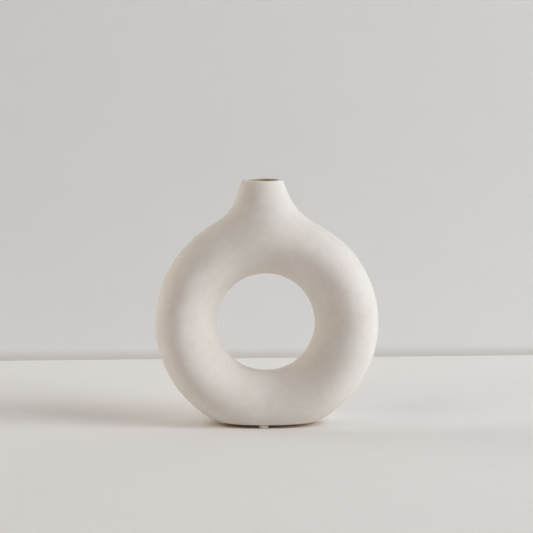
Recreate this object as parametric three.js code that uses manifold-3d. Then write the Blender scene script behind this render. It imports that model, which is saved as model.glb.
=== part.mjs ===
// Ring-shaped bud vase: two moulded half shells, lapped and bonded on the middle plane, on four feet.
// Millimetres, +Z up, front towards -Y. The origin is on the standing surface, below the ring's centre.
import * as THREE from 'three';
import { mergeVertices } from 'three/addons/utils/BufferGeometryUtils.js';
import Module from 'manifold-3d';

const { lerp, smoothstep, degToRad } = THREE.MathUtils;

// Ring: a tube of oval section, fullest a little outside its middle, bent round a circle and cut flat below
const spineRadius = 80.2;
const tubeHalfWidth = 31.2;
const tubeHalfDepth = 40;
const ridgeShift = 4.7;
const baseCut = 13.3;
const wall = 3.5;

// Neck: a cone that rises from the ring's crown and meets it in a concave fillet
const neckHeight = 31.8;
const mouthRadius = 20.2;
const neckTaper = degToRad(20.5);
const neckFillet = 52;

// The body isn't quite even: the neck leans left, and the hole stands left of the ring's middle and above it
const mouthShift = 4.1;
const leanStart = 67;
const holeShift = 1.1;
const holeRise = 0.7;

// Lap joint between the shells: a lip on the front one, a rebate in the back one, adhesive behind the lip
const lapLength = 3;
const lapStop = 6;
const lipRoot = 1;
const lipSetback = 0.2;
const jointGap = 0.3;
const bondThickness = 1;

// Stick-on feet on their adhesive discs, in a diamond that is turned a little
const footRadius = 5;
const footHeight = 3;
const footEdge = 0.6;
const tapeRadius = 4.6;
const tapeThickness = 0.5;
const footSideInset = 11;
const footFrontInset = 1.4;
const footTurn = degToRad(5.4);

// Facets: rays round the ring for each stretch of the outline, and steps across the tube
const mouthRays = 6;
const sideRays = 2;
const filletRays = 5;
const ringRays = 22;
const baseRays = 5;
const tubeSteps = 10;
const footSegments = 24;
const mergeTolerance = 1e-4;

// Sizes that follow, in the plane of the ring with its centre at (0, 0)
const ringRadius = spineRadius + tubeHalfWidth;
const holeRadius = spineRadius - tubeHalfWidth;
const mouthRise = ringRadius + neckHeight;
const baseDrop = ringRadius - baseCut;
const centreHeight = footHeight + tapeThickness + baseDrop;

// The neck's side is a straight line. The fillet's centre stands off it and off the ring by its radius
const sideNormal = new THREE.Vector2(Math.cos(neckTaper), Math.sin(neckTaper));
const sideDistance = sideNormal.dot(new THREE.Vector2(mouthRadius, mouthRise));
const filletReach = ringRadius + neckFillet;
const filletAngle = Math.asin((sideDistance + neckFillet) / filletReach) - neckTaper;
const filletCentre = onRay(filletAngle, filletReach);

const wasm = await Module();
wasm.setup();

// A point at an angle clockwise from straight up and a distance from the ring's centre
function onRay(angle, reach) {
  return new THREE.Vector2(Math.sin(angle), Math.cos(angle)).multiplyScalar(reach);
}

// A point moved left with the neck above the lean's start, and with the hole as far as part is short of 1
function shifted({ x, y }, part) {
  const left = mouthShift * smoothstep(y, leanStart, mouthRise) + holeShift * (1 - part);
  return new THREE.Vector2(x - left, y + holeRise * (1 - part));
}

// Where the neck's straight side ends in the fillet, on the outline that lies inset inside the outer one
function sideEnd(inset) {
  return filletCentre.clone().addScaledVector(sideNormal, -(neckFillet + inset));
}

// Half the width of that outline at a height above the ring's centre
function halfWidthAt(height, inset) {
  const filletRadius = neckFillet + inset;
  if (height > sideEnd(inset).y) return (sideDistance - inset - height * sideNormal.y) / sideNormal.x;
  if (height > (ringRadius - inset) * Math.cos(filletAngle)) {
    return filletCentre.x - Math.sqrt(filletRadius ** 2 - (filletCentre.y - height) ** 2);
  }
  return Math.sqrt((ringRadius - inset) ** 2 - height ** 2);
}

// Distance from the ring's centre to that outline along a ray on the right, before mouth and base are cut
function outlineReach(angle, inset) {
  const turn = filletAngle - angle;
  if (turn <= 0) return ringRadius - inset;
  const end = sideEnd(inset);
  if (angle < Math.atan2(end.x, end.y)) return (sideDistance - inset) / Math.sin(angle + neckTaper);
  const across = filletReach * Math.sin(turn);
  return filletReach * Math.cos(turn) - Math.sqrt((neckFillet + inset) ** 2 - across ** 2);
}

// Half the neck's depth at a height: the tube's at the spine, closing in with the neck's taper at the mouth
function neckHalfDepth(height, inset) {
  const span = mouthRise - spineRadius;
  const t = Math.max(0, (height - spineRadius) / span);
  const ease = t * t * (3 - 2 * t);
  const flare = Math.tan(neckTaper) * span * t * t * (1 - t);
  const thickness = lerp(inset, inset / sideNormal.x, Math.min(t, 1));
  return lerp(tubeHalfDepth, mouthRadius, ease) + flare - thickness;
}

// Half the body's depth at a point of the ring's plane: the tube's oval below, blended into the neck's above
function halfDepthAt(x, height, inset) {
  const across = (Math.hypot(x, height) - spineRadius) / (tubeHalfWidth - inset);
  const fromRidge = across - (ridgeShift / tubeHalfWidth) * (1 - across ** 2);
  const tube = (tubeHalfDepth - inset) ** 2 * (1 - fromRidge ** 2);
  const blendLow = spineRadius * Math.cos(filletAngle);
  const blendHigh = (ringRadius - wall) * Math.cos(filletAngle);
  const blend = smoothstep(height, blendLow, blendHigh);
  if (blend === 0) return Math.sqrt(Math.max(0, tube));
  const sideways = x / halfWidthAt(height, inset);
  const neck = neckHalfDepth(height, inset) ** 2 * (1 - sideways ** 2);
  return Math.sqrt(Math.max(0, lerp(tube, neck, blend)));
}

// Even steps from one angle to another, without the last
function anglesBetween(from, to, count) {
  return to > from ? Array.from({ length: count }, (_, k) => lerp(from, to, k / count)) : [];
}

// Rays to the outline on the right, from the mouth's corner at height top down to the base's corner
function outlineAngles(inset, top, sideCount) {
  const end = sideEnd(inset);
  const mouthCorner = Math.atan2(halfWidthAt(top, inset), top);
  const sideCorner = Math.max(mouthCorner, Math.atan2(end.x, end.y));
  const baseCorner = Math.PI - Math.acos((baseDrop - inset) / (ringRadius - inset));
  return [
    ...anglesBetween(mouthCorner, sideCorner, sideCount),
    ...anglesBetween(sideCorner, filletAngle, filletRays),
    ...anglesBetween(filletAngle, baseCorner, ringRays),
    baseCorner,
  ];
}

// Rays to a flat cut at a height, evenly round its edge, from the middle out and without the corner
function cutRays(height, halfWidth, count) {
  return Array.from({ length: count }, (_, k) => {
    const x = halfWidth * Math.sin((k / count) * (Math.PI / 2));
    return { angle: Math.atan2(x, height), reach: Math.hypot(x, height), cut: true };
  });
}

// All rays clockwise from the middle of the mouth; cut marks those that end on the mouth's or base's flat
function bodyRays(inset, top) {
  const bottom = inset - baseDrop;
  const toOutline = (angle) => ({ angle, reach: outlineReach(angle, inset), cut: false });
  const right = [
    ...cutRays(top, halfWidthAt(top, inset), mouthRays),
    ...outlineAngles(inset, top, sideRays).map(toOutline),
    ...cutRays(bottom, halfWidthAt(bottom, inset), baseRays).reverse(),
  ];
  const left = right.slice(1, -1).map((ray) => ({ ...ray, angle: -ray.angle }));
  return [...right, ...left.reverse()];
}

// A closed solid's triangles with shared vertices merged and empty triangles dropped
function solidOf(geometry) {
  const bare = geometry.clone();
  bare.deleteAttribute('normal');
  bare.deleteAttribute('uv');
  const merged = mergeVertices(bare, mergeTolerance);
  const index = merged.index.array;
  const corners = [];
  for (let i = 0; i < index.length; i += 3) {
    const [a, b, c] = index.subarray(i, i + 3);
    if (a !== b && b !== c && c !== a) corners.push(a, b, c);
  }
  const vertProperties = merged.getAttribute('position').array;
  const triVerts = Uint32Array.from(corners);
  return new wasm.Manifold(new wasm.Mesh({ numProp: 3, vertProperties, triVerts }));
}

function geometryOf(solid) {
  const { vertProperties, triVerts } = solid.getMesh();
  const geometry = new THREE.BufferGeometry();
  geometry.setAttribute('position', new THREE.BufferAttribute(vertProperties, 3));
  geometry.setIndex(new THREE.BufferAttribute(triVerts, 1));
  geometry.computeVertexNormals();
  return geometry;
}

// The filled body that lies inset inside the outer surface, open upwards to height top
function bodySolid(inset, top) {
  const rays = bodyRays(inset, top);
  const positions = [];
  for (const side of [-1, 1]) {
    for (const { angle, reach, cut } of rays) {
      for (let j = 0; j <= tubeSteps; j++) {
        const t = (1 - Math.cos((Math.PI * j) / tubeSteps)) / 2;
        const even = onRay(angle, lerp(holeRadius + inset, reach, t));
        const onSeam = j === 0 || (j === tubeSteps && !cut);
        const depth = onSeam ? 0 : side * halfDepthAt(even.x, even.y, inset);
        const { x, y: height } = shifted(even, t);
        positions.push(x, depth, height);
      }
    }
  }
  const row = tubeSteps + 1;
  const back = rays.length * row;
  const indices = [];
  const quad = (a, b, c, d) => indices.push(a, b, c, a, c, d);
  rays.forEach((_, k) => {
    const here = k * row;
    const next = ((k + 1) % rays.length) * row;
    for (let j = 0; j < tubeSteps; j++) {
      quad(here + j, next + j, next + j + 1, here + j + 1);
      quad(back + here + j, back + here + j + 1, back + next + j + 1, back + next + j);
    }
    quad(here + tubeSteps, next + tubeSteps, back + next + tubeSteps, back + here + tubeSteps);
  });
  const geometry = new THREE.BufferGeometry();
  geometry.setAttribute('position', new THREE.Float32BufferAttribute(positions, 3));
  geometry.setIndex(indices);
  return solidOf(geometry);
}

// The outline inset inside the outer one, from its right end at height top, round the base, to its left end
function outlinePoints(inset, top) {
  const right = outlineAngles(inset, top, 1).map((angle) => onRay(angle, outlineReach(angle, inset)));
  const left = right.map(({ x, y }) => new THREE.Vector2(-x, y));
  return [...right, ...left.reverse()].map((point) => shifted(point, 1));
}

// The same clockwise round the hole
function circlePoints(radius) {
  return bodyRays(0, mouthRise).map(({ angle }) => shifted(onRay(angle, radius), 0));
}

// An outline with a round hole, whose points run the other way
function withHole(points, radius) {
  const shape = new THREE.Shape(points);
  shape.holes.push(new THREE.Path(circlePoints(radius).reverse()));
  return shape;
}

// A shape in the ring's plane, given depth from one y to another
function acrossSeam(shape, fromY, toY) {
  const geometry = new THREE.ExtrudeGeometry(shape, { depth: toY - fromY, bevelEnabled: false });
  return geometry.rotateX(Math.PI / 2).translate(0, toY, 0);
}

// A strip along the outer outline, between two insets and open at the mouth
function outerStrip(fromInset, toInset, top, fromY, toY) {
  const points = [...outlinePoints(fromInset, top), ...outlinePoints(toInset, top).reverse()];
  return acrossSeam(new THREE.Shape(points), fromY, toY);
}

// The same strip round the hole
function holeStrip(fromInset, toInset, fromY, toY) {
  return acrossSeam(withHole(circlePoints(holeRadius + toInset), holeRadius + fromInset), fromY, toY);
}

function halfSpace(side) {
  const depth = 2 * tubeHalfDepth;
  const height = mouthRise + ringRadius;
  const block = new THREE.BoxGeometry(3 * ringRadius, depth, 2 * height);
  return solidOf(block.translate(0, (side * depth) / 2, 0));
}

// Materials
const shellPlastic = new THREE.MeshStandardMaterial({ color: 0xe9e4dc, roughness: 0.85 });
const bondAdhesive = new THREE.MeshStandardMaterial({ color: 0xd8d2c4, roughness: 0.6 });
const footRubber = new THREE.MeshStandardMaterial({ color: 0xc4c0b8, roughness: 0.25 });
const tapeFilm = new THREE.MeshStandardMaterial({ color: 0xdedbd2, roughness: 0.5 });

function piece(name, geometry, material) {
  const mesh = new THREE.Mesh(geometry, material);
  mesh.name = name;
  return mesh;
}

// Shells: the hollow body split on the middle plane, with the lip and its rebate
const lipOuter = (wall + jointGap) / 2;
const lipInner = wall - lipSetback;
const rebateOuter = (wall - jointGap) / 2;
const lapTop = mouthRise - lapStop;
const bondFrom = lapLength + jointGap;
const bondTo = bondFrom + bondThickness;

const hollowBody = bodySolid(0, mouthRise).subtract(bodySolid(wall, mouthRise + wall));

const frontSolid = hollowBody
  .intersect(halfSpace(-1))
  .add(solidOf(outerStrip(lipOuter, lipInner, lapTop, -lipRoot, lapLength)))
  .add(solidOf(holeStrip(lipOuter, lipInner, -lipRoot, lapLength)));

const rebateShape = withHole(outlinePoints(rebateOuter, lapTop + jointGap), holeRadius + rebateOuter);
const rebate = solidOf(acrossSeam(rebateShape, -lipRoot, bondTo + jointGap));
const backSolid = hollowBody.intersect(halfSpace(1)).subtract(rebate);

const body = new THREE.Group();
body.position.z = centreHeight;
body.add(
  piece('front_shell', geometryOf(frontSolid), shellPlastic),
  piece('back_shell', geometryOf(backSolid), shellPlastic),
  piece('outer_seam_bond', outerStrip(lipOuter, lipInner, lapTop, bondFrom, bondTo), bondAdhesive),
  piece('hole_seam_bond', holeStrip(lipOuter, lipInner, bondFrom, bondTo), bondAdhesive),
);

// Feet: round pads with an eased lower edge, each under its adhesive disc, close to the base's edge
function turned(profile) {
  const points = profile.map(([radius, height]) => new THREE.Vector2(radius, height));
  return new THREE.LatheGeometry(points, footSegments).rotateX(Math.PI / 2);
}

const footProfile = [
  [0, 0],
  [footRadius - footEdge, 0],
  [footRadius, footEdge],
  [footRadius, footHeight],
  [0, footHeight],
];
const tapeProfile = [
  [0, footHeight],
  [tapeRadius, footHeight],
  [tapeRadius, footHeight + tapeThickness],
  [0, footHeight + tapeThickness],
];
const footAcross = halfWidthAt(-baseDrop, 0) - footRadius - footSideInset;
const footForward = halfDepthAt(0, -baseDrop, 0) - footRadius - footFrontInset;

const feet = new THREE.Group();
['right', 'back', 'left', 'front'].forEach((side, k) => {
  const angle = (k * Math.PI) / 2 - footTurn;
  const foot = new THREE.Group();
  foot.position.set(footAcross * Math.cos(angle), footForward * Math.sin(angle), 0);
  foot.add(
    piece(`${side}_foot`, turned(footProfile), footRubber),
    piece(`${side}_foot_tape`, turned(tapeProfile), tapeFilm),
  );
  feet.add(foot);
});

const vase = new THREE.Group();
vase.add(body, feet);

export default vase;
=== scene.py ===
import math

import bmesh
import bpy
from mathutils import Matrix, Vector


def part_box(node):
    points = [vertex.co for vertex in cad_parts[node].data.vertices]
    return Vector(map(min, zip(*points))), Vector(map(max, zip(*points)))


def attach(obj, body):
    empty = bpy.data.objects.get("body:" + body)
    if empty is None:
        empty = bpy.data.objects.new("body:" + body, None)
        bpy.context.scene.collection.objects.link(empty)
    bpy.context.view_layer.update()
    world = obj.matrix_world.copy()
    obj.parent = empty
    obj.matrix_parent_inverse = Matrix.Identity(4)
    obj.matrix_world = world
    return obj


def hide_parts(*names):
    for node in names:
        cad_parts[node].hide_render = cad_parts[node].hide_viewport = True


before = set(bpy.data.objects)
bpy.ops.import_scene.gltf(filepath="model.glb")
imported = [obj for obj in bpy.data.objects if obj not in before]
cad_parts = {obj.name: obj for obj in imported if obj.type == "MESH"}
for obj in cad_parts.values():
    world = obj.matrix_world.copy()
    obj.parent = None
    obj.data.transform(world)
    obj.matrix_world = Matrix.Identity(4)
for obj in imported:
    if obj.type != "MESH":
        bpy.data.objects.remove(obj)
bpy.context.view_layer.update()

scene = bpy.context.scene
print("frame loaded:", len(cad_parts), "nodes")


# Formulas in node trees: a field is an output socket, and arithmetic on it adds Math nodes

class Field:
    def __init__(self, tree, socket):
        self.tree = tree
        self.socket = socket

    def __add__(self, other):
        return calc("ADD", self, other)

    def __radd__(self, other):
        return calc("ADD", other, self)

    def __sub__(self, other):
        return calc("SUBTRACT", self, other)

    def __rsub__(self, other):
        return calc("SUBTRACT", other, self)

    def __mul__(self, other):
        return calc("MULTIPLY", self, other)

    def __rmul__(self, other):
        return calc("MULTIPLY", other, self)

    def __truediv__(self, other):
        return calc("DIVIDE", self, other)

    def __gt__(self, other):
        return calc("GREATER_THAN", self, other)

    def __lt__(self, other):
        return calc("LESS_THAN", self, other)


def calc(operation, *values):
    tree = next(value.tree for value in values if isinstance(value, Field))
    node = tree.nodes.new("ShaderNodeMath")
    node.operation = operation
    for socket, value in zip(node.inputs, values):
        feed(tree, value, socket)
    return Field(tree, node.outputs[0])


def feed(tree, value, socket):                       # a field is linked, anything else is set
    if isinstance(value, Field):
        tree.links.new(value.socket, socket)
    else:
        socket.default_value = value


def addNode(tree, kind, inputs=(), **settings):      # inputs: pairs of socket name or number and value
    node = tree.nodes.new(kind)
    for name, value in settings.items():
        setattr(node, name, value)
    for name, value in dict(inputs).items():
        feed(tree, value, node.inputs[name])
    return node


def out(node, name=0):
    return Field(node.id_data, node.outputs[name])


def mix(a, b, share):
    return a + (b - a) * share


def pick(mask, yes, no):
    return mix(no, yes, mask)


def most(a, b):
    return calc("MAXIMUM", a, b)


def clamp(share):
    return most(calc("MINIMUM", share, 1), 0)


def ease(share):
    held = clamp(share)
    return held * held * (3 - 2 * held)


def square(value):
    return value * value


def root(value):
    return calc("SQRT", most(value, 0))


def hypot(a, b):
    return root(square(a) + square(b))


def sine(angle):
    return calc("SINE", angle)


def cosine(angle):
    return calc("COSINE", angle)


def angleOf(across, up):                             # clockwise from straight up
    return calc("ARCTAN2", across, up)


# The body's sizes in metres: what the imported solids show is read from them, the rest is named here

shellLow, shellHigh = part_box("front_shell")
beadLow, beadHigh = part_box("hole_seam_bond")
holeBeadInset = 0.0033                               # from the hole's surface to the bead's outer edge
holeRise = 0.0007                                    # the hole stands this much above the ring's middle

vaseBody = {
    "Ring Radius": (shellHigh.x - shellLow.x) / 2,
    "Hole Radius": (beadHigh.z - beadLow.z) / 2 - holeBeadInset,
    "Tube Half Depth": -shellLow.y,
    "Centre Height": (beadLow.z + beadHigh.z) / 2 - holeRise,
    "Base Height": shellLow.z,
    "Mouth Height": shellHigh.z,
    "Mouth Radius": 0.0202,
    "Neck Taper": math.radians(20.5),
    "Neck Fillet": 0.052,
    "Ridge Shift": 0.0047,
    "Mouth Shift": 0.0041,
    "Lean Start": 0.067,
    "Hole Shift": -(beadLow.x + beadHigh.x) / 2,
    "Hole Rise": holeRise,
    "Wall": 0.0035,
    "Lip Chamfer": 0.0008,
    "Lip Rounding": 0.0009,
    "Base Rounding": 0.0005,
    "Base End Lift": 0.0017,
    "Seam Bevel": 0.0001,
    "Lap Tip": 0.0033,
    "Lap Stop": 0.006,
    "Unevenness": 0.0005,
    "Patch Size": 0.035,
    "Seed": 4.0,
}
bareMark = "bareShare"                               # mesh attribute: 1 on the underside, where a tan tone is painted to turn the shade under the base brown
innerShadeTan = {"share": 0.35, "from": 0.8}             # tan on the inside, from this share of the wall inwards: painted warm shade in the mouth
meshing = {"seamMargin": 1e-5, "mergeReach": 2e-6, "crease": math.radians(35)}
lapSides = {                                         # the front has the lip, the back has the rebate for it
    "front_shell": {"Side": -1.0, "Lap Root": 0.0019, "Lip Rise": 0.003, "Rebate Depth": 0.0},
    "back_shell": {"Side": 1.0, "Lap Root": 0.0016, "Lip Rise": 0.0, "Rebate Depth": 0.0046},
}
sideRayPlan = {"mouth": 24, "outline": 150, "base": 26}    # rays on one side, from the mouth to the base
loopPlan = {                                         # steps round the wall's section, in order
    "tubeOut": 48, "baseOut": 10, "seam": 15, "baseBack": 4, "tubeBack": 32, "holeSeam": 15,
}
lapPlan = {                                          # first and last step of each part of the seam
    "bevel": (0, 1), "toRoot": (1, 3), "rise": (3, 6),
    "toTip": (6, 9), "fall": (9, 12), "toInside": (12, 15),
}


def shellTree():
    tree = bpy.data.node_groups.new("mouldedHalf", "GeometryNodeTree")
    tree.is_modifier = True
    tree.interface.new_socket("Geometry", in_out="OUTPUT", socket_type="NodeSocketGeometry")
    for name in [*vaseBody, *lapSides["front_shell"]]:
        tree.interface.new_socket(name, in_out="INPUT", socket_type="NodeSocketFloat")
    tree.interface.new_socket("Finish", in_out="INPUT", socket_type="NodeSocketMaterial")
    given = tree.nodes.new("NodeGroupInput")

    def size(name):
        return Field(tree, given.outputs[name])

    ringRadius, holeRadius, wall = size("Ring Radius"), size("Hole Radius"), size("Wall")
    tubeHalfDepth, mouthRadius, taper = size("Tube Half Depth"), size("Mouth Radius"), size("Neck Taper")
    fillet, side = size("Neck Fillet"), size("Side")
    nothing = 0 * wall                               # zero as a field
    spineRadius = (ringRadius + holeRadius) / 2
    tubeHalfWidth = (ringRadius - holeRadius) / 2
    mouthRise = size("Mouth Height") - size("Centre Height")
    baseDrop = size("Centre Height") - size("Base Height")

    # The neck's straight side and its fillet, in the plane of the ring
    sideX, sideY = cosine(taper), sine(taper)
    sideDistance = sideX * mouthRadius + sideY * mouthRise
    filletReach = ringRadius + fillet
    filletAngle = calc("ARCSINE", (sideDistance + fillet) / filletReach) - taper
    filletX, filletY = filletReach * sine(filletAngle), filletReach * cosine(filletAngle)

    def halfWidthAt(height, inset):
        cone = (sideDistance - inset - height * sideY) / sideX
        curve = filletX - root(square(fillet + inset) - square(filletY - height))
        ring = root(square(ringRadius - inset) - square(height))
        onRing = pick(height > (ringRadius - inset) * cosine(filletAngle), curve, ring)
        return pick(height > filletY - (fillet + inset) * sideY, cone, onRing)

    def outlineReach(angle, inset):
        turn = filletAngle - angle
        endAngle = angleOf(filletX - (fillet + inset) * sideX, filletY - (fillet + inset) * sideY)
        cone = (sideDistance - inset) / sine(angle + taper)
        curve = filletReach * cosine(turn) - root(square(fillet + inset) - square(filletReach * sine(turn)))
        onNeck = pick(endAngle > angle, cone, curve)
        return pick(turn > 0, onNeck, ringRadius - inset)

    def halfDepthAt(x, height, inset):
        across = (hypot(x, height) - spineRadius) / (tubeHalfWidth - inset)
        fromRidge = across - size("Ridge Shift") / tubeHalfWidth * (1 - square(across))
        tube = square(tubeHalfDepth - inset) * (1 - square(fromRidge))
        span = mouthRise - spineRadius
        rise = most((height - spineRadius) / span, 0)
        flare = calc("TANGENT", taper) * span * rise * rise * (1 - rise)
        thickness = mix(inset, inset / sideX, clamp(rise))
        neckDepth = mix(tubeHalfDepth, mouthRadius, rise * rise * (3 - 2 * rise)) + flare - thickness
        neck = square(neckDepth) * (1 - square(x / halfWidthAt(height, inset)))
        blendLow = spineRadius * cosine(filletAngle)
        blendHigh = (ringRadius - wall) * cosine(filletAngle)
        return root(mix(tube, neck, ease((height - blendLow) / (blendHigh - blendLow))))

    # Each point of the grid has a ray round the ring and a step of the loop round the wall's section
    mouthRays, outlineRays, baseRays = sideRayPlan.values()
    sideRays = mouthRays + outlineRays + baseRays
    loopSteps = sum(loopPlan.values())
    index = out(tree.nodes.new("GeometryNodeInputIndex"))
    ray = calc("FLOOR", index / (loopSteps + 1))
    step = index - ray * (loopSteps + 1)
    leftSide = ray > sideRays
    sideRay = pick(leftSide, 2 * sideRays - ray, ray)
    mouthTurn = clamp(sideRay / mouthRays) * (math.pi / 2)
    outlineShare = clamp((sideRay - mouthRays) / outlineRays)
    baseTurn = clamp((sideRays - sideRay) / baseRays) * (math.pi / 2)
    onMouth = sideRay < mouthRays - 0.5              # half a ray of margin on whole numbers
    onBase = sideRay > mouthRays + outlineRays - 0.5

    stages = {}
    first = 0
    for name, count in loopPlan.items():
        stages[name] = clamp((step - first) / count)
        first += count
    tubeShare = (1 - cosine((stages["tubeOut"] - stages["tubeBack"]) * math.pi)) / 2
    baseShare = stages["baseOut"] - stages["baseBack"]
    seamShare = stages["seam"] - stages["holeSeam"]
    roundShare = clamp(baseShare * 2) * onBase
    flatShare = clamp(baseShare * 2 - 1) * onBase

    # Depth into the wall: straight through at the mouth, in the lap's steps along the seam
    lapTop = mouthRise - size("Lap Stop")
    lapAngle = angleOf(halfWidthAt(lapTop, nothing), lapTop)
    mouthCorner = angleOf(halfWidthAt(mouthRise, nothing), mouthRise)
    baseCorner = math.pi - calc("ARCCOSINE", baseDrop / ringRadius)
    outlineAngle = mix(mouthCorner, baseCorner, outlineShare)
    outerLap = outlineAngle > lapAngle
    hasLap = pick(tubeShare > 0.5, outerLap, 1)
    lapRoot, lapTip, bevel = size("Lap Root"), size("Lap Tip"), size("Seam Bevel")
    lapStep = seamShare * loopPlan["seam"]
    lap = {part: clamp((lapStep - start) / (end - start)) for part, (start, end) in lapPlan.items()}
    stepped = bevel * lap["bevel"] + (lapRoot - bevel) * lap["toRoot"]
    stepped = stepped + (lapTip - lapRoot) * lap["toTip"] + (wall - lapTip) * lap["toInside"]
    straight = wall * (1 - cosine(seamShare * math.pi)) / 2
    depth = pick(hasLap, stepped, straight)
    wallShare = depth / wall

    # A hand finish: the outer surface wanders in and out a little
    baseHalf = root(square(ringRadius) - square(baseDrop))
    cutAngle = pick(onMouth, angleOf(mouthRadius * sine(mouthTurn), mouthRise), outlineAngle)
    cutAngle = pick(onBase, angleOf(baseHalf * sine(baseTurn), 0 - baseDrop), cutAngle)
    guideAngle = pick(leftSide, -1, 1) * cutAngle
    guideReach = mix(holeRadius, ringRadius, tubeShare)
    guideDepth = side * tubeHalfDepth * root(1 - square(2 * tubeShare - 1))
    guide = addNode(tree, "ShaderNodeCombineXYZ", {
        "X": guideReach * sine(guideAngle), "Y": guideDepth, "Z": guideReach * cosine(guideAngle)})
    wanderScale = calc("DIVIDE", 1, size("Patch Size"))
    wander = addNode(tree, "ShaderNodeTexNoise", {
        "Vector": out(guide), "W": size("Seed"), "Scale": wanderScale, "Detail": 0.0}, noise_dimensions="4D")
    inset = depth - size("Unevenness") * (out(wander, "Fac") * 2 - 1) * (1 - wallShare)

    # Where the ray ends, on the mouth's edge, the outline or the base's edge
    lip, chamfer = size("Lip Rounding"), size("Lip Chamfer")
    innerDrop = lip - root(square(lip) - square(most(lip - (wall - depth), 0)))
    top = mouthRise - most(chamfer - depth, 0) - innerDrop
    mouthHalf = halfWidthAt(top, inset)
    mouthX = mouthHalf * sine(mouthTurn)
    baseRound, endLift = size("Base Rounding"), size("Base End Lift")
    baseEdge = baseRound + endLift - baseDrop
    outerBaseHalf = root(square(ringRadius) - square(baseEdge))
    innerBaseHalf = root(square(ringRadius - wall) - square(baseDrop - wall))
    lift = endLift * square(square(sine(baseTurn))) + baseRound * square(1 - roundShare)
    bottom = depth - baseDrop + lift * (1 - wallShare)
    eased = 2 * baseRound * roundShare
    baseX = mix(outerBaseHalf - eased, innerBaseHalf, wallShare) * sine(baseTurn)
    cornerHeight = mix(baseEdge, wall - baseDrop, wallShare)
    cornerAngle = angleOf(mix(outerBaseHalf, innerBaseHalf, wallShare), cornerHeight)
    angle = mix(angleOf(mouthHalf, top), cornerAngle, outlineShare)
    angle = pick(onMouth, angleOf(mouthX, top), pick(onBase, angleOf(baseX, bottom), angle))
    reach = pick(onBase, hypot(baseX, bottom), outlineReach(angle, inset))
    reach = pick(onMouth, hypot(mouthX, top), reach)

    # Place on the ray, depth of the body there, and the lap's lip and rebate
    distance = mix(holeRadius + inset, reach, tubeShare)
    x, height = distance * sine(angle), distance * cosine(angle)
    cutRay = most(onMouth, onBase)
    margin = meshing["seamMargin"]
    offSeam = (tubeShare > margin) * pick(tubeShare > 1 - margin, cutRay, 1)
    edgeDepth = halfDepthAt(nothing, baseEdge, nothing)
    surface = offSeam * halfDepthAt(x, height, inset) * (1 - eased / edgeDepth) * (1 - flatShare)
    onSeam = (1 - offSeam) + onBase * (flatShare > 1 - margin)
    surface = most(surface, bevel * (1 - lap["bevel"]) * clamp(onSeam))
    rebate = size("Rebate Depth") * lap["rise"] * hasLap
    lipRise = size("Lip Rise") * (lap["rise"] - lap["fall"]) * hasLap
    y = side * most(surface, rebate) + lipRise
    left = size("Mouth Shift") * ease((height - size("Lean Start")) / (mouthRise - size("Lean Start")))
    left = left + size("Hole Shift") * (1 - tubeShare)
    raised = height + size("Hole Rise") * (1 - tubeShare)
    place = addNode(tree, "ShaderNodeCombineXYZ", {
        "X": pick(leftSide, -1, 1) * x - left, "Y": y, "Z": raised + size("Centre Height")})

    grid = addNode(tree, "GeometryNodeMeshGrid", {
        "Vertices X": 2 * sideRays + 1, "Vertices Y": loopSteps + 1})
    shaped = addNode(tree, "GeometryNodeSetPosition", {"Geometry": out(grid), "Position": out(place)})
    # Painted warm shade: a tan tone on the underside and, more thinly, on the inside, so the shade under the
    # base and in the mouth turns brown
    underside = ease(roundShare * 2 - 1) * (1 - wallShare)
    inside = innerShadeTan["share"] * ease((wallShare - innerShadeTan["from"]) / (1 - innerShadeTan["from"]))
    marked = addNode(tree, "GeometryNodeStoreNamedAttribute", {
        "Geometry": out(shaped), "Name": bareMark, "Value": most(underside, inside)},
        data_type="FLOAT", domain="POINT")
    merged = addNode(tree, "GeometryNodeMergeByDistance", {
        "Geometry": out(marked), "Distance": meshing["mergeReach"]})
    smooth = addNode(tree, "GeometryNodeSetShadeSmooth", {"Geometry": out(merged), "Shade Smooth": True})
    edges = out(tree.nodes.new("GeometryNodeInputMeshEdgeAngle"), "Unsigned Angle") > meshing["crease"]
    crisp = addNode(tree, "GeometryNodeSetShadeSmooth", {
        "Geometry": out(smooth), "Selection": edges, "Shade Smooth": False}, domain="EDGE")
    real = addNode(tree, "GeometryNodeRealizeInstances", {"Geometry": out(crisp)})
    finish = addNode(tree, "GeometryNodeSetMaterial", {"Geometry": out(real), "Material": size("Finish")})
    result = tree.nodes.new("NodeGroupOutput")
    tree.links.new(finish.outputs[0], result.inputs["Geometry"])
    return tree


def plainMesh(piece):                                # the tree's result as the piece's mesh, facing outwards
    graph = bpy.context.evaluated_depsgraph_get()
    mesh = bpy.data.meshes.new_from_object(piece.evaluated_get(graph))
    piece.modifiers.clear()
    piece.data = mesh
    shape = bmesh.new()
    shape.from_mesh(mesh)
    bmesh.ops.recalc_face_normals(shape, faces=shape.faces)
    shape.to_mesh(mesh)
    shape.free()


def makeShell(tree, node, finish):
    piece = bpy.data.objects.new(node + "_moulding", bpy.data.meshes.new(node + "_moulding"))
    scene.collection.objects.link(piece)
    modifier = piece.modifiers.new("mouldedHalf", "NODES")
    modifier.node_group = tree
    sockets = {item.name: item.identifier for item in tree.interface.items_tree if item.in_out == "INPUT"}
    for name, value in {**vaseBody, **lapSides[node], "Finish": finish}.items():
        modifier[sockets[name]] = value
    plainMesh(piece)
    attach(piece, "root")
    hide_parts(node)
    print(piece.name, len(piece.data.polygons), "faces")


# Shared effects for the finishes

def effectGroup(name, inputs, outputs):
    group = bpy.data.node_groups.new(name, "ShaderNodeTree")
    for label, kind, value in inputs:
        socket = group.interface.new_socket(label, in_out="INPUT", socket_type=kind)
        if value is not None:
            socket.default_value = value
    for label, kind in outputs:
        group.interface.new_socket(label, in_out="OUTPUT", socket_type=kind)
    return group, group.nodes.new("NodeGroupInput"), group.nodes.new("NodeGroupOutput")


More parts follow.
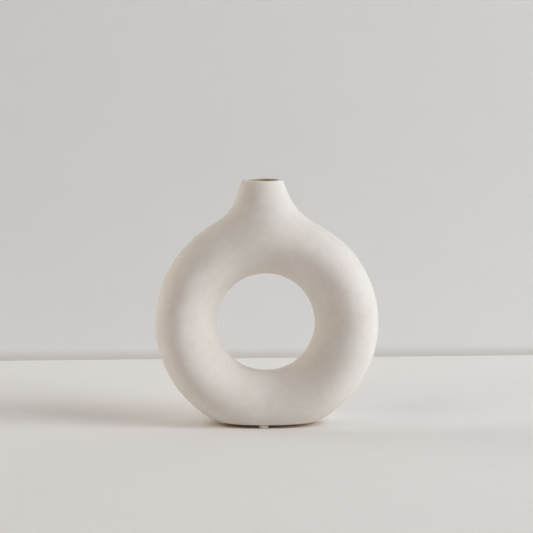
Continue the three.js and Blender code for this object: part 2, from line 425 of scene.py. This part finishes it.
def makeMottle():                                    # soft clouds with smaller ones over them, about 0 to 1
    group, given, result = effectGroup("mottle", [
        ("Vector", "NodeSocketVector", None), ("Scale", "NodeSocketFloat", 30.0),
        ("Fine Scale", "NodeSocketFloat", 140.0), ("Fine Share", "NodeSocketFloat", 0.35),
        ("Contrast", "NodeSocketFloat", 2.2)],
        [("Mask", "NodeSocketFloat")])
    clouds = addNode(group, "ShaderNodeTexNoise", {
        "Vector": out(given, "Vector"), "Scale": out(given, "Scale"), "Detail": 3.0, "Roughness": 0.55})
    flecks = addNode(group, "ShaderNodeTexNoise", {
        "Vector": out(given, "Vector"), "Scale": out(given, "Fine Scale"), "Detail": 2.0})
    blend = mix(out(clouds, "Fac"), out(flecks, "Fac"), out(given, "Fine Share"))
    spread = clamp((blend - 0.5) * out(given, "Contrast") + 0.5)
    group.links.new(spread.socket, result.inputs["Mask"])
    return group


def makeGrain():                                     # a sanded, powdery surface, as a height
    group, given, result = effectGroup("grain", [
        ("Vector", "NodeSocketVector", None), ("Scale", "NodeSocketFloat", 700.0),
        ("Fine Scale", "NodeSocketFloat", 2600.0), ("Fine Share", "NodeSocketFloat", 0.4)],
        [("Height", "NodeSocketFloat")])
    coarse = addNode(group, "ShaderNodeTexNoise", {
        "Vector": out(given, "Vector"), "Scale": out(given, "Scale"), "Detail": 3.0})
    fine = addNode(group, "ShaderNodeTexNoise", {
        "Vector": out(given, "Vector"), "Scale": out(given, "Fine Scale"), "Detail": 2.0})
    height = mix(out(coarse, "Fac"), out(fine, "Fac"), out(given, "Fine Share"))
    group.links.new(height.socket, result.inputs["Height"])
    return group


def makeSpecks():                                    # a few pin-prick dots
    group, given, result = effectGroup("specks", [
        ("Vector", "NodeSocketVector", None), ("Scale", "NodeSocketFloat", 150.0),
        ("Dot Size", "NodeSocketFloat", 0.06), ("Share", "NodeSocketFloat", 0.12),
        ("Edge", "NodeSocketFloat", 1.5)],
        [("Mask", "NodeSocketFloat")])
    cells = addNode(group, "ShaderNodeTexVoronoi", {
        "Vector": out(given, "Vector"), "Scale": out(given, "Scale"), "Randomness": 1.0})
    chosen = addNode(group, "ShaderNodeSeparateColor", {"Color": out(cells, "Color")})
    dot = clamp(out(given, "Edge") - out(cells, "Distance") / out(given, "Dot Size"))
    mask = dot * (out(given, "Share") > out(chosen, "Red"))
    group.links.new(mask.socket, result.inputs["Mask"])
    return group


mottle, grain, specks = makeMottle(), makeGrain(), makeSpecks()


def newFinish(name, roughness, specular):
    finish = bpy.data.materials.new(name)
    finish.use_nodes = True
    shader = finish.node_tree.nodes["Principled BSDF"]
    shader.inputs["Roughness"].default_value = roughness
    shader.inputs["Specular IOR Level"].default_value = specular
    where = out(finish.node_tree.nodes.new("ShaderNodeTexCoord"), "Object")
    return finish, finish.node_tree, shader, where


def effect(tree, group, where, values=()):
    node = addNode(tree, "ShaderNodeGroup", node_tree=group)
    for name, value in {"Vector": where, **dict(values)}.items():
        feed(tree, value, node.inputs[name])
    return out(node)


def addBump(tree, shader, look, height):
    bump = addNode(tree, "ShaderNodeBump", {
        "Strength": look["bump"], "Distance": look["bumpDepth"], "Height": height})
    feed(tree, out(bump), shader.inputs["Normal"])


def blendColour(tree, a, b, share):
    node = addNode(tree, "ShaderNodeMix", data_type="RGBA")
    feed(tree, share, node.inputs["Factor"])
    feed(tree, a, node.inputs[6])                    # sockets 6 and 7 are the two colours
    feed(tree, b, node.inputs[7])
    return Field(tree, node.outputs[2])


def srgb(red, green, blue):                          # screen values from 0 to 255 as a linear colour
    def linear(value):
        share = value / 255
        return share / 12.92 if share <= 0.04045 else ((share + 0.055) / 1.055) ** 2.4
    return (linear(red), linear(green), linear(blue), 1.0)


# The coat's tones; the tan pair is painted on the underside and inside so that the shade there turns brown
chalkCoat = {
    "pale": srgb(236, 232, 226), "warm": srgb(226, 219, 209), "speck": srgb(150, 138, 122),
    "bare": srgb(238, 200, 150), "bareDark": srgb(224, 184, 134),
    "roughness": (0.84, 0.94), "specular": 0.25, "bump": 0.12, "bumpDepth": 0.0004, "speckStrength": 0.35,
}


def makeChalkCoat(look):
    finish, tree, shader, where = newFinish("chalk_coat", look["roughness"][1], look["specular"])
    clouds = effect(tree, mottle, where)
    tone = blendColour(tree, look["pale"], look["warm"], clouds)
    dots = effect(tree, specks, where)
    tone = blendColour(tree, tone, look["speck"], dots * look["speckStrength"])
    # Painted warm shade: the tan tone where the mesh marks the underside and the inside
    underside = out(addNode(tree, "ShaderNodeAttribute", attribute_name=bareMark), "Fac")
    bare = blendColour(tree, look["bare"], look["bareDark"], clouds)
    tone = blendColour(tree, tone, bare, underside)
    feed(tree, tone, shader.inputs["Base Color"])
    feed(tree, mix(look["roughness"][0], look["roughness"][1], clouds), shader.inputs["Roughness"])
    addBump(tree, shader, look, effect(tree, grain, where))
    return finish


beadFinish = {
    "name": "cured_bead", "pale": srgb(222, 215, 200), "warm": srgb(204, 194, 174), "mottleScale": 90.0,
    "roughness": 0.55, "specular": 0.4, "bump": 0.3, "bumpDepth": 0.0004, "grainScale": 300.0,
}
padFinish = {
    "name": "clear_pad", "pale": srgb(240, 236, 229), "warm": srgb(230, 223, 213), "mottleScale": 220.0,
    "roughness": 0.35, "specular": 0.4, "bump": 0.08, "bumpDepth": 0.0003, "grainScale": 700.0,
    "transmission": 0.12, "ior": 1.48,
}
tapeFinish = {
    "name": "adhesive_film", "pale": srgb(224, 220, 210), "warm": srgb(208, 201, 188), "mottleScale": 300.0,
    "roughness": 0.45, "specular": 0.4,
}


def makeTwoTone(look):                               # two mottled tones, with grain and clearness if named
    finish, tree, shader, where = newFinish(look["name"], look["roughness"], look["specular"])
    clouds = effect(tree, mottle, where, {"Scale": look["mottleScale"]})
    feed(tree, blendColour(tree, look["pale"], look["warm"], clouds), shader.inputs["Base Color"])
    if "transmission" in look:
        shader.inputs["Transmission Weight"].default_value = look["transmission"]
        shader.inputs["IOR"].default_value = look["ior"]
    if "bump" in look:
        addBump(tree, shader, look, effect(tree, grain, where, {"Scale": look["grainScale"]}))
    return finish


# Feet: soft round pads with a barrel side and eased edges

footPad = {
    "topEdge": 0.0003, "lowEdge": 0.0009, "barrel": 0.00012, "innerShare": 0.5,
    "segments": 64, "edgeSteps": 6, "sideSteps": 6,
}


def padProfile(radius, height, pad):                 # radii and heights, from the bottom's middle to the top's
    inner = radius * pad["innerShare"]
    points = [(0.0, 0.0), (inner, 0.0)]
    low, high = pad["lowEdge"], pad["topEdge"]
    for k in range(pad["edgeSteps"] + 1):
        turn = math.pi / 2 * k / pad["edgeSteps"]
        points.append((radius - low + low * math.sin(turn), low - low * math.cos(turn)))
    for k in range(1, pad["sideSteps"]):
        share = k / pad["sideSteps"]
        bulge = pad["barrel"] * math.sin(math.pi * share)
        points.append((radius + bulge, low + (height - low - high) * share))
    for k in range(pad["edgeSteps"] + 1):
        turn = math.pi / 2 * k / pad["edgeSteps"]
        points.append((radius - high + high * math.cos(turn), height - high + high * math.sin(turn)))
    return [*points, (inner, height), (0.0, height)]


def makeFootPad(node, finish):
    low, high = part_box(node)
    middle = (low + high) / 2
    profile = padProfile((high.x - low.x) / 2, high.z - low.z, footPad)
    shape = bmesh.new()
    rings = []
    for radius, height in profile:
        count = footPad["segments"] if radius > 0 else 1
        ring = []
        for k in range(count):
            turn = 2 * math.pi * k / count
            x, y = middle.x + radius * math.cos(turn), middle.y + radius * math.sin(turn)
            ring.append(shape.verts.new((x, y, low.z + height)))
        rings.append(ring)
    for inner, outer in zip(rings, rings[1:]):
        count = max(len(inner), len(outer))
        for k in range(count):
            corners = [inner[k % len(inner)], inner[(k + 1) % len(inner)],
                       outer[(k + 1) % len(outer)], outer[k % len(outer)]]
            shape.faces.new(list(dict.fromkeys(corners))).smooth = True
    bmesh.ops.recalc_face_normals(shape, faces=shape.faces)
    mesh = bpy.data.meshes.new(node + "_pad")
    shape.to_mesh(mesh)
    shape.free()
    mesh.materials.append(finish)
    piece = bpy.data.objects.new(node + "_pad", mesh)
    scene.collection.objects.link(piece)
    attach(piece, "root")
    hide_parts(node)


def dressNode(node, finish):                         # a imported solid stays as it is, with its own finish
    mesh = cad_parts[node].data
    mesh.materials.clear()
    mesh.materials.append(finish)


tree = shellTree()
coat = makeChalkCoat(chalkCoat)
for node in lapSides:
    makeShell(tree, node, coat)
pad, film, bead = makeTwoTone(padFinish), makeTwoTone(tapeFinish), makeTwoTone(beadFinish)
for corner in ("front", "right", "back", "left"):
    makeFootPad(corner + "_foot", pad)
    dressNode(corner + "_foot_tape", film)
for node in ("outer_seam_bond", "hole_seam_bond"):
    dressNode(node, bead)
print("feet and beads dressed")


# Stage: a pale floor and a plain wall behind, a little turned, with painted shade along the wall's foot where
# it meets the floor

stageSet = {
    "floor": srgb(243, 241, 238), "wall": srgb(240, 240, 239), "wallFootShade": srgb(219, 216, 211),
    "footHeight": 0.014, "wallDistance": 0.444, "wallTurn": math.radians(3.0),
    "halfWidth": 3.0, "wallTop": 2.6, "roughness": 0.9, "specular": 0.05, "patchDarkness": 0.97,
    "patches": {"Scale": 3.0, "Fine Scale": 40.0, "Fine Share": 0.2},
}


def makeStagePlane(name, corners):                   # clear from its back, so the vase shows from every side
    mesh = bpy.data.meshes.new(name)
    mesh.from_pydata(corners, [], [(0, 1, 2, 3)])
    finish, tree, shader, where = newFinish(name, stageSet["roughness"], stageSet["specular"])
    colour = stageSet[name]
    darker = tuple(value * stageSet["patchDarkness"] for value in colour[:3]) + (1.0,)
    clouds = effect(tree, mottle, where, stageSet["patches"])
    tone = blendColour(tree, colour, darker, clouds)
    if name == "wall":
        # Painted shade: the wall's colour darkens towards the floor, standing in for the corner's shade
        height = out(addNode(tree, "ShaderNodeSeparateXYZ", {"Vector": where}), "Z")
        tone = blendColour(tree, stageSet["wallFootShade"], tone, ease(height / stageSet["footHeight"]))
    feed(tree, tone, shader.inputs["Base Color"])
    behind = out(tree.nodes.new("ShaderNodeNewGeometry"), "Backfacing")
    shown = addNode(tree, "ShaderNodeMixShader", {"Fac": behind})
    tree.links.new(shader.outputs["BSDF"], shown.inputs[1])
    tree.links.new(tree.nodes.new("ShaderNodeBsdfTransparent").outputs["BSDF"], shown.inputs[2])
    tree.links.new(shown.outputs["Shader"], tree.nodes["Material Output"].inputs["Surface"])
    mesh.materials.append(finish)
    piece = bpy.data.objects.new(name, mesh)
    scene.collection.objects.link(piece)
    piece.visible_shadow = name != "wall"            # the light from the back passes the wall


half, wallTop = stageSet["halfWidth"], stageSet["wallTop"]
slant = half * math.tan(stageSet["wallTurn"])
leftY, rightY = stageSet["wallDistance"] - slant, stageSet["wallDistance"] + slant
backLeft, backRight = (-half, leftY, 0), (half, rightY, 0)
makeStagePlane("floor", [(-half, -half, 0), (half, -half, 0), backRight, backLeft])
makeStagePlane("wall", [backLeft, backRight, (half, rightY, wallTop), (-half, leftY, wallTop)])
print("stage set")


# Light: a wide window on the right in two parts, a fill, light from the back left, and the room

lampSet = {
    "window": {"from": (74, 20), "power": 184.0, "colour": (0.962, 1.0, 0.98)},
    "windowHigh": {"from": (64, 30), "power": 116.0, "colour": (0.786, 0.855, 1.0)},
    "fill": {"from": (-50, 40), "power": 70.0, "colour": (1.0, 0.976, 0.827)},
    "backLeft": {"from": (-110, 18), "power": 97.0, "colour": (1.0, 0.985, 0.956)},
}
lampReach = {"distance": 6.0, "size": 4.05}
roomLight = {                                        # light on the vase, and the tone beyond the stage
    "colour": (1.0, 0.628, 0.626, 1.0), "strength": 0.092, "distance": srgb(206, 204, 200),
}
ringCentre = Vector((0, 0, vaseBody["Centre Height"]))


def direction(azimuth, elevation):                   # azimuth 0 is towards the camera and 90 to the right
    across, up = math.radians(azimuth), math.radians(elevation)
    return Vector((math.sin(across) * math.cos(up), -math.cos(across) * math.cos(up), math.sin(up)))


def makeLamp(name, lamp):
    light = bpy.data.lights.new(name, "AREA")
    light.shape = "DISK"
    light.size = lampReach["size"]
    light.energy = lamp["power"]
    light.color = lamp["colour"]
    towards = direction(*lamp["from"])
    holder = bpy.data.objects.new(name, light)
    holder.location = ringCentre + towards * lampReach["distance"]
    holder.rotation_euler = towards.to_track_quat("Z", "Y").to_euler()
    scene.collection.objects.link(holder)


for name, lamp in lampSet.items():
    makeLamp(name, lamp)
world = bpy.data.worlds.new("room")
world.use_nodes = True
sky = world.node_tree
lit = sky.nodes["Background"]
lit.inputs["Color"].default_value = roomLight["colour"]
lit.inputs["Strength"].default_value = roomLight["strength"]
seen = addNode(sky, "ShaderNodeBackground", {"Color": roomLight["distance"], "Strength": 1.0})
direct = out(sky.nodes.new("ShaderNodeLightPath"), "Is Camera Ray")
both = addNode(sky, "ShaderNodeMixShader", {"Fac": direct})
sky.links.new(lit.outputs["Background"], both.inputs[1])
sky.links.new(seen.outputs["Background"], both.inputs[2])
sky.links.new(both.outputs["Shader"], sky.nodes["World Output"].inputs["Surface"])
scene.world = world
print("lamps placed")


# Camera: a long lens a little above the vase, looking through the ring

cameraSet = {
    "distance": 2.5, "elevation": 7.63, "lens": 168.8, "sensor": 36.0, "reach": 20.0,
    "aimHeight": 0.158, "aimAcross": -0.00014, "roll": -0.17,
}

camera = bpy.data.cameras.new("camera")
camera.lens = cameraSet["lens"]
camera.sensor_width = cameraSet["sensor"]
camera.clip_end = cameraSet["reach"]
holder = bpy.data.objects.new("camera", camera)
holder.location = ringCentre + direction(0, cameraSet["elevation"]) * cameraSet["distance"]
aim = Vector((cameraSet["aimAcross"], 0, cameraSet["aimHeight"])) - holder.location
roll = Matrix.Rotation(math.radians(cameraSet["roll"]), 3, "Z")
turn = aim.to_track_quat("-Z", "Y").to_matrix() @ roll
holder.rotation_euler = turn.to_euler()
scene.collection.objects.link(holder)
scene.camera = holder
scene.view_settings.view_transform = "Standard"
print("camera placed")
